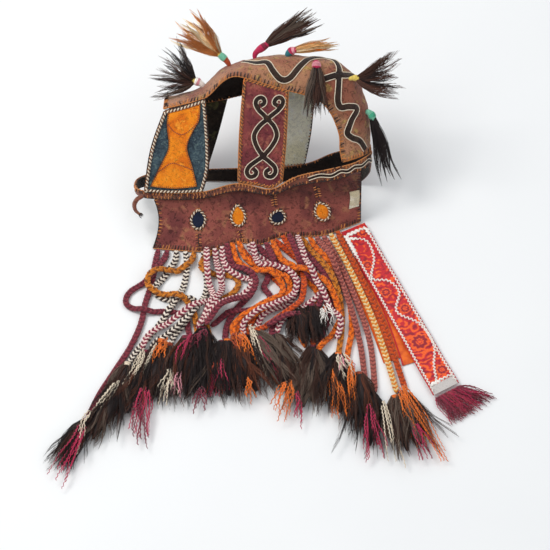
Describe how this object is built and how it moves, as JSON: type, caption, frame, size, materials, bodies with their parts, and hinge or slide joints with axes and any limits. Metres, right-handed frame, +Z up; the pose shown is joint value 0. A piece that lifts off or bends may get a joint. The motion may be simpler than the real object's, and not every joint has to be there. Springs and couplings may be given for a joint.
{
  "type": "felt horse neck trapping",
  "caption": "Openwork felt head and neck trapping: stitched hood with crest tassels, hinged neck curtain, long plaited fringe and a printed silk strip.",
  "frame": {"origin": "centre of the object's box in plan, on the surface it lies on", "axes": "+X to the right along the neck ring, +Y from the fringe towards the hood, +Z up"},
  "size_m": [0.8633, 0.9349, 0.3221],
  "materials": {
    "felt_tan": "matted felt, tan brown, stitched edge",
    "felt_brown": "matted felt, red brown, stitched edge",
    "felt_maroon": "matted felt, maroon brown, mottled",
    "felt_dark": "felt, near black brown",
    "felt_cream": "undyed cream felt lining",
    "felt_slate": "slate blue woollen cloth",
    "felt_orange": "orange woollen cloth",
    "felt_navy": "navy woollen cloth",
    "silk_red": "printed red and orange silk with white rickrack",
    "silk_orange": "orange cotton lining",
    "yarn_burgundy": "burgundy yarn",
    "hair_dark": "dark animal hair with coloured yarns",
    "hair_straw": "straw coloured animal hair",
    "maroon": "plaited maroon wool",
    "black_white": "plaited black and white wool in chevrons",
    "mustard": "plaited mustard and brown wool",
    "pink_white": "plaited pink and white wool in chevrons",
    "rust": "plaited rust and dark wool",
    "orange": "plaited orange wool",
    "brown_pink": "plaited brown pink wool",
    "yellow_cream": "plaited yellow and cream wool"
  },
  "bodies": {
    "hood": {"ring_band": "felt_brown", "crest_band": "felt_tan", "near_front_panel": "felt_slate", "near_mid_panel": "felt_maroon", "far_front_panel": "felt_dark", "far_mid_panel": "felt_cream", "hourglass_applique": "felt_orange", "scroll_applique": "felt_dark"},
    "strap_tip": {"strap_tip": "felt_brown"},
    "neck_curtain": {"curtain": "felt_maroon", "navy_insert_left": "felt_navy", "orange_insert_left": "felt_orange", "navy_insert_right": "felt_navy", "orange_insert_right": "felt_orange", "lining_patch": "felt_cream", "braid_01": "maroon", "braid_02": "maroon", "braid_03": "black_white", "braid_04": "black_white", "braid_05": "mustard", "braid_06": "black_white", "braid_07": "mustard", "braid_08": "pink_white", "braid_09": "maroon", "braid_10": "rust", "braid_11": "pink_white", "braid_12": "maroon", "braid_13": "orange", "braid_14": "rust", "braid_15": "pink_white", "braid_16": "maroon", "braid_17": "mustard", "braid_18": "orange", "braid_19": "brown_pink", "braid_20": "brown_pink", "braid_21": "yellow_cream", "braid_22": "rust", "tassel_01": "hair_dark", "tassel_02": "hair_dark", "tassel_03": "hair_dark", "tassel_04": "hair_dark", "tassel_05": "hair_dark", "tassel_06": "hair_dark", "tassel_07": "hair_dark", "tassel_08": "hair_dark", "tassel_09": "hair_dark", "tassel_10": "hair_dark", "tassel_11": "hair_dark", "tassel_12": "hair_dark"},
    "silk_strip": {"silk_strip": "silk_red", "strip_lining": "silk_orange", "strip_fringe": "yarn_burgundy"},
    "crest_tassel_1": {"crest_tassel_1": "hair_dark"},
    "crest_tassel_2": {"crest_tassel_2": "hair_straw"},
    "crest_tassel_3": {"crest_tassel_3": "hair_dark"},
    "crest_tassel_4": {"crest_tassel_4": "hair_straw"},
    "crest_tassel_5": {"crest_tassel_5": "hair_dark"},
    "crest_tassel_6": {"crest_tassel_6": "hair_dark"},
    "crest_tassel_7": {"crest_tassel_7": "hair_dark"}
  },
  "joints": [
    {"name": "curtain_flap", "type": "hinge", "parent": "hood", "child": "neck_curtain", "pos_m": [0.001, 0.1814, 0.0863], "axis": [-0.9929, -0.0718, -0.0953], "range_deg": [0, 40]},
    {"name": "strip_flap", "type": "hinge", "parent": "neck_curtain", "child": "silk_strip", "pos_m": [0.135, 0.14, 0.004], "axis": [-0.8866, -0.4626, 0], "range_deg": [0, 80]},
    {"name": "strap_bend", "type": "hinge", "parent": "hood", "child": "strap_tip", "pos_m": [-0.266, 0.1722, 0.0807], "axis": [0, 0.7986, -0.6018], "range_deg": [-12, 12], "stiffness_Nm_per_rad": 0.01},
    {"name": "crest_tassel_1_sway", "type": "hinge", "parent": "hood", "child": "crest_tassel_1", "pos_m": [-0.1438, 0.3551, 0.2087], "axis": [0.0602, 0.8124, -0.5799], "range_deg": [-15, 15], "stiffness_Nm_per_rad": 0.3},
    {"name": "crest_tassel_2_sway", "type": "hinge", "parent": "hood", "child": "crest_tassel_2", "pos_m": [-0.0913, 0.3809, 0.243], "axis": [0.0683, 0.798, -0.5988], "range_deg": [-20, 20], "stiffness_Nm_per_rad": 0.3},
    {"name": "crest_tassel_3_sway", "type": "hinge", "parent": "hood", "child": "crest_tassel_3", "pos_m": [-0.0391, 0.393, 0.2518], "axis": [0.0366, -0.7168, 0.6964], "range_deg": [-12, 25], "stiffness_Nm_per_rad": 0.3},
    {"name": "crest_tassel_4_sway", "type": "hinge", "parent": "hood", "child": "crest_tassel_4", "pos_m": [0.027, 0.387, 0.2654], "axis": [-0.0615, -0.8903, 0.4512], "range_deg": [-6, 25], "stiffness_Nm_per_rad": 0.3},
    {"name": "crest_tassel_5_sway", "type": "hinge", "parent": "hood", "child": "crest_tassel_5", "pos_m": [0.0828, 0.3629, 0.2655], "axis": [-0.991, -0.0796, 0.1072], "range_deg": [-5, 25], "stiffness_Nm_per_rad": 0.3},
    {"name": "crest_tassel_6_sway", "type": "hinge", "parent": "hood", "child": "crest_tassel_6", "pos_m": [0.1521, 0.3469, 0.2394], "axis": [-0.1867, -0.9799, -0.07], "range_deg": [-15, 25], "stiffness_Nm_per_rad": 0.3},
    {"name": "crest_tassel_7_sway", "type": "hinge", "parent": "hood", "child": "crest_tassel_7", "pos_m": [0.186, 0.3098, 0.1795], "axis": [-0.4011, -0.7496, 0.5265], "range_deg": [-8, 25], "stiffness_Nm_per_rad": 0.3}
  ]
}
